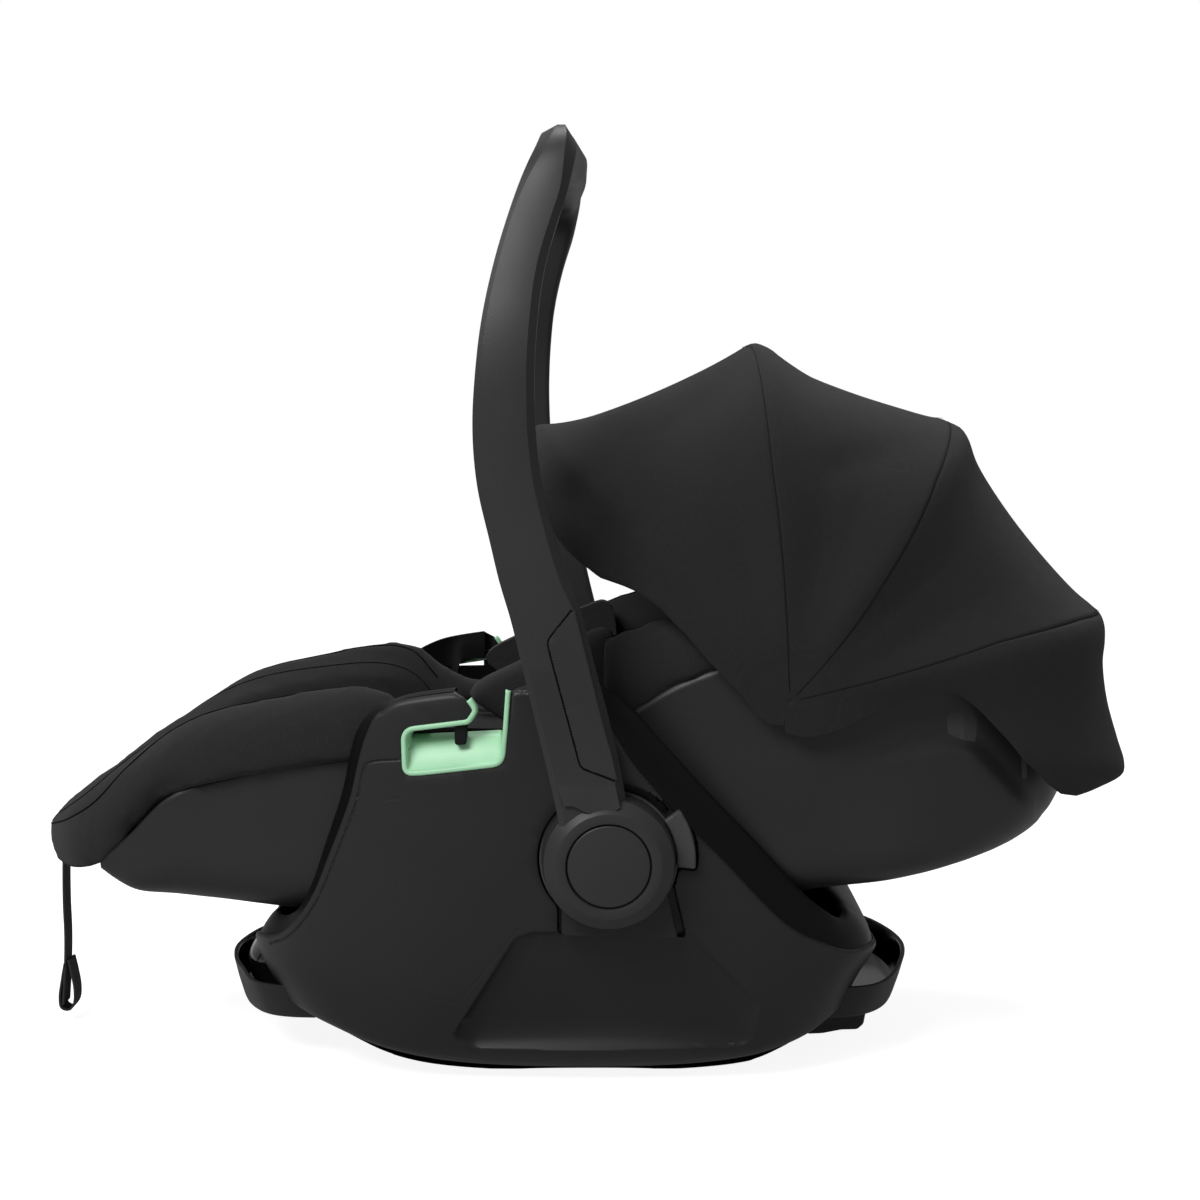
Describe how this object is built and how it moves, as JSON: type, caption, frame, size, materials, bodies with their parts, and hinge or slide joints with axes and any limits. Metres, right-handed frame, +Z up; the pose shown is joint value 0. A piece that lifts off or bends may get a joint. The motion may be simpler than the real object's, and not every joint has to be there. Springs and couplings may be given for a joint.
{
  "type": "infant car seat",
  "caption": "Rear-facing infant car seat with a rocking base, turning carry handle, reclining backrest, folding canopy and five-point harness.",
  "frame": {"origin": "on the floor, under the middle of the whole seat (loose strap left out)", "axes": "+X towards the head end (the long way), +Y towards the far side, +Z up"},
  "size_m": [0.7531, 0.439, 0.616],
  "materials": {
    "shell_plastic": "satin",
    "seat_shell_plastic": "satin",
    "handle_plastic": "satin",
    "button_plastic": "satin",
    "lever_plastic": "satin",
    "bumper_plastic": "gloss",
    "guide_plastic": "satin",
    "keeper_rubber": "matte",
    "steel": "brushed",
    "red_plastic": "gloss",
    "seat_fabric": "woven",
    "canopy_fabric": "woven",
    "webbing": "woven",
    "foam": "moulded bead foam"
  },
  "bodies": {
    "base": {"base_shell": "shell_plastic", "side_cover_left": "shell_plastic", "side_cover_right": "shell_plastic", "belt_guide_left": "guide_plastic", "belt_guide_right": "guide_plastic", "belt_keeper_left": "keeper_rubber", "belt_keeper_right": "keeper_rubber", "cradle_rail_left": "shell_plastic", "cradle_rail_right": "shell_plastic", "front_bumper": "bumper_plastic", "rear_bumper": "bumper_plastic", "rear_catch_block": "shell_plastic", "handle_axle_left": "steel", "handle_axle_right": "steel", "adapter_cover_left": "lever_plastic", "adapter_cover_right": "lever_plastic", "seat_pan_shell": "seat_shell_plastic", "seat_pan_foam": "foam", "seat_cover": "seat_fabric", "recline_pin_left": "steel", "recline_pin_right": "steel", "buckle_tongue_left": "steel", "buckle_tongue_right": "steel", "lap_belt_left": "webbing", "lap_belt_right": "webbing", "crotch_belt": "webbing", "buckle": "lever_plastic", "crotch_pad": "seat_fabric", "adjuster_housing": "lever_plastic", "adjuster_strap": "webbing"},
    "handle": {"handle_frame": "handle_plastic", "arm_cover_left": "handle_plastic", "arm_cover_right": "handle_plastic", "button_spring_left": "steel", "button_spring_right": "steel"},
    "handle_button_near": {"handle_button_left": "button_plastic"},
    "handle_button_far": {"handle_button_right": "button_plastic"},
    "release_lever_near": {"release_lever_left": "lever_plastic"},
    "release_lever_far": {"release_lever_right": "lever_plastic"},
    "backrest": {"backrest_shell": "seat_shell_plastic", "backrest_foam": "foam", "backrest_cover": "seat_fabric", "shoulder_belt_left": "webbing", "shoulder_belt_right": "webbing", "shoulder_pad_left": "seat_fabric", "shoulder_pad_right": "seat_fabric", "canopy_bow_rear": "steel", "canopy_skirt": "canopy_fabric", "canopy_pin_left": "steel", "canopy_pin_right": "steel"},
    "headrest": {"headrest_plate": "seat_shell_plastic", "headrest_pad": "seat_fabric"},
    "canopy_middle": {"canopy_bow_middle": "steel", "canopy_rear_panel": "canopy_fabric"},
    "canopy_front": {"canopy_bow_front": "steel", "canopy_visor": "canopy_fabric", "canopy_front_panel": "canopy_fabric"},
    "buckle_button": {"buckle_button": "red_plastic"},
    "adjuster_button": {"adjuster_button": "lever_plastic"}
  },
  "joints": [
    {"name": "handle_turn", "type": "hinge", "parent": "base", "child": "handle", "pos_m": [0.018, 0, 0.1548], "axis": [0, 1, 0], "range_deg": [0, 108]},
    {"name": "handle_button_near_press", "type": "slide", "parent": "handle", "child": "handle_button_near", "axis": [0, 1, 0], "range_m": [0, 0.0035], "stiffness_N_per_m": 900, "springref_m": -0.002, "deforming": ["button_spring_left"]},
    {"name": "handle_button_far_press", "type": "slide", "parent": "handle", "child": "handle_button_far", "axis": [0, -1, 0], "range_m": [0, 0.0035], "stiffness_N_per_m": 900, "springref_m": -0.002, "deforming": ["button_spring_right"]},
    {"name": "release_lever_near_pull", "type": "hinge", "parent": "base", "child": "release_lever_near", "pos_m": [0.018, -0.1885, 0.1548], "axis": [0, -1, 0], "range_deg": [0, 10], "stiffness_Nm_per_rad": 0.8, "springref_deg": -5.73},
    {"name": "release_lever_far_pull", "type": "hinge", "parent": "base", "child": "release_lever_far", "pos_m": [0.018, 0.1885, 0.1548], "axis": [0, -1, 0], "range_deg": [0, 10], "stiffness_Nm_per_rad": 0.8, "springref_deg": -5.73},
    {"name": "backrest_recline", "type": "hinge", "parent": "base", "child": "backrest", "pos_m": [-0.0257, 0, 0.135], "axis": [0, -1, 0], "range_deg": [0, 25]},
    {"name": "headrest_height", "type": "slide", "parent": "backrest", "child": "headrest", "axis": [0.9864, 0, 0.1644], "range_m": [0, 0.04]},
    {"name": "canopy_middle_fold", "type": "hinge", "parent": "backrest", "child": "canopy_middle", "pos_m": [0.1333, 0, 0.252], "axis": [0, 1, 0], "range_deg": [0, 30], "deforming": ["canopy_rear_panel"]},
    {"name": "canopy_front_fold", "type": "hinge", "parent": "canopy_middle", "child": "canopy_front", "pos_m": [0.1333, 0, 0.252], "axis": [0, 1, 0], "range_deg": [0, 26], "deforming": ["canopy_front_panel"]},
    {"name": "buckle_button_press", "type": "slide", "parent": "base", "child": "buckle_button", "axis": [0.1, 0, -0.995], "range_m": [0, 0.003], "stiffness_N_per_m": 800, "springref_m": -0.003},
    {"name": "adjuster_button_press", "type": "slide", "parent": "base", "child": "adjuster_button", "axis": [0, 0, -1], "range_m": [0, 0.002], "stiffness_N_per_m": 800, "springref_m": -0.003}
  ],
  "couplings": [
    {"joint": "canopy_front_fold", "follows": "canopy_middle_fold", "ratio": 0.86667}
  ]
}
